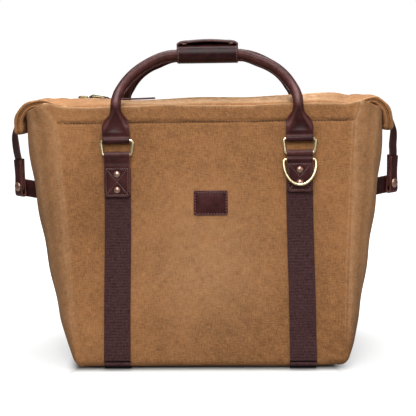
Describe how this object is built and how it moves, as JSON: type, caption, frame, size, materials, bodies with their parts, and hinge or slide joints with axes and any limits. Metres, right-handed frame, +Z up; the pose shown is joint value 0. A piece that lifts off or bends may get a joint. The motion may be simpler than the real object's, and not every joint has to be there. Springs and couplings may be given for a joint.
{
  "type": "canvas tote bag",
  "caption": "Zip-top waxed canvas tote bag with rolled leather handles on brass rings, webbing straps, end straps and a D-ring.",
  "frame": {"origin": "middle of the bounding box, on the floor under the straps", "axes": "+X to the right in the front view, -Y out of the front panel, +Z up"},
  "size_m": [0.582, 0.1934, 0.4631],
  "materials": {
    "canvas": "waxed cotton canvas, matt",
    "lining": "plain cotton lining",
    "leather": "smooth oiled leather, dark red-brown",
    "webbing": "ribbed cotton webbing",
    "brass": "polished pale brass",
    "copper": "antique copper",
    "zip_chain": "antique brass teeth on dark tape",
    "board": "stiff sheet",
    "cord": "cotton cord"
  },
  "bodies": {
    "bag": {"front_panel": "canvas", "back_panel": "canvas", "left_gusset": "canvas", "right_gusset": "canvas", "base_panel": "canvas", "base_board": "board", "lining": "lining", "left_webbing": "webbing", "right_webbing": "webbing", "front_left_tab": "leather", "front_right_tab": "leather", "back_left_tab": "leather", "back_right_tab": "leather", "front_left_upper_rivet": "copper", "front_left_lower_rivet": "copper", "front_right_upper_rivet": "copper", "front_right_lower_rivet": "copper", "back_left_upper_rivet": "copper", "back_left_lower_rivet": "copper", "back_right_upper_rivet": "copper", "back_right_lower_rivet": "copper", "front_patch": "leather", "left_zip_end": "canvas", "right_zip_end": "canvas", "left_zip_chain": "zip_chain", "right_zip_chain": "zip_chain", "left_side_tab": "leather", "right_side_tab": "leather", "left_keeper": "leather", "right_keeper": "leather"},
    "front_rings": {"front_left_ring": "brass", "front_right_ring": "brass"},
    "back_rings": {"back_left_ring": "brass", "back_right_ring": "brass"},
    "front_handle_set": {"front_handle": "leather", "front_handle_core": "cord", "grip_wrap": "leather"},
    "back_handle_set": {"back_handle": "leather", "back_handle_core": "cord"},
    "grip_flap_set": {"grip_flap": "leather", "left_grip_snap": "copper", "right_grip_snap": "copper"},
    "front_d": {"front_d_ring": "brass"},
    "back_d": {"back_d_ring": "brass"},
    "slider_set": {"zip_slider": "brass"},
    "pull_set": {"zip_pull": "brass", "zip_pull_tab": "leather"},
    "front_top": {"front_zip_flap": "canvas", "front_zip_chain": "zip_chain"},
    "back_top": {"back_zip_flap": "canvas", "back_zip_chain": "zip_chain"},
    "left_ear_set": {"left_ear": "canvas"},
    "right_ear_set": {"right_ear": "canvas"},
    "left_strap_set": {"left_end_strap": "leather"},
    "right_strap_set": {"right_end_strap": "leather"},
    "left_leaf_set": {"left_keeper_leaf": "leather", "left_snap_cap": "copper"},
    "right_leaf_set": {"right_keeper_leaf": "leather", "right_snap_cap": "copper"}
  },
  "joints": [
    {"name": "front_ring_swing", "type": "hinge", "parent": "bag", "child": "front_rings", "pos_m": [0, -0.05998, 0.30484], "axis": [1, 0, 0], "range_deg": [0, 40], "deforming": ["grip_flap"]},
    {"name": "front_handle_swing", "type": "hinge", "parent": "front_rings", "child": "front_handle_set", "pos_m": [0, -0.0573, 0.32516], "axis": [1, 0, 0], "range_deg": [0, 110], "deforming": ["grip_flap"]},
    {"name": "front_d_ring_swing", "type": "hinge", "parent": "bag", "child": "front_d", "pos_m": [0, -0.06116, 0.29592], "axis": [1, 0, 0], "range_deg": [-110, 0]},
    {"name": "front_top_open", "type": "hinge", "parent": "bag", "child": "front_top", "pos_m": [0, -0.044, 0.3725], "axis": [1, 0, 0], "range_deg": [0, 38]},
    {"name": "back_ring_swing", "type": "hinge", "parent": "bag", "child": "back_rings", "pos_m": [0, 0.05998, 0.30484], "axis": [-1, 0, 0], "range_deg": [0, 40], "deforming": ["grip_flap"]},
    {"name": "back_handle_swing", "type": "hinge", "parent": "back_rings", "child": "back_handle_set", "pos_m": [0, 0.0573, 0.32516], "axis": [-1, 0, 0], "range_deg": [0, 110], "deforming": ["grip_flap"]},
    {"name": "back_d_ring_swing", "type": "hinge", "parent": "bag", "child": "back_d", "pos_m": [0, 0.06116, 0.29592], "axis": [-1, 0, 0], "range_deg": [-110, 0]},
    {"name": "back_top_open", "type": "hinge", "parent": "bag", "child": "back_top", "pos_m": [0, 0.044, 0.3725], "axis": [-1, 0, 0], "range_deg": [0, 38]},
    {"name": "grip_flap_open", "type": "hinge", "parent": "front_handle_set", "child": "grip_flap_set", "pos_m": [0, 0, 0.4342], "axis": [1, 0, 0], "range_deg": [-120, 0]},
    {"name": "zip_slide", "type": "slide", "parent": "bag", "child": "slider_set", "axis": [1, 0, 0], "range_m": [0, 0.345]},
    {"name": "zip_pull_lift", "type": "hinge", "parent": "slider_set", "child": "pull_set", "pos_m": [-0.172, 0, 0.38247], "axis": [0, 1, 0], "range_deg": [-100, 0]},
    {"name": "left_ear_lift", "type": "hinge", "parent": "bag", "child": "left_ear_set", "pos_m": [-0.205, 0, 0.3835], "axis": [0, -1, 0], "range_deg": [-70, 0]},
    {"name": "left_strap_swing", "type": "hinge", "parent": "left_ear_set", "child": "left_strap_set", "pos_m": [-0.281, 0, 0.36], "axis": [0, -1, 0], "range_deg": [-60, 0], "deforming": ["left_end_strap"]},
    {"name": "left_leaf_open", "type": "hinge", "parent": "bag", "child": "left_leaf_set", "pos_m": [-0.28451, 0.01285, 0.2385], "axis": [-0.5736, 0.8192, 0], "range_deg": [-110, 0]},
    {"name": "right_ear_lift", "type": "hinge", "parent": "bag", "child": "right_ear_set", "pos_m": [0.219, 0, 0.3835], "axis": [0, 1, 0], "range_deg": [-70, 0]},
    {"name": "right_strap_swing", "type": "hinge", "parent": "right_ear_set", "child": "right_strap_set", "pos_m": [0.281, 0, 0.36], "axis": [0, 1, 0], "range_deg": [-60, 0], "deforming": ["right_end_strap"]},
    {"name": "right_leaf_open", "type": "hinge", "parent": "bag", "child": "right_leaf_set", "pos_m": [0.28451, 0.01285, 0.2385], "axis": [-0.5736, -0.8192, 0], "range_deg": [-110, 0]}
  ]
}
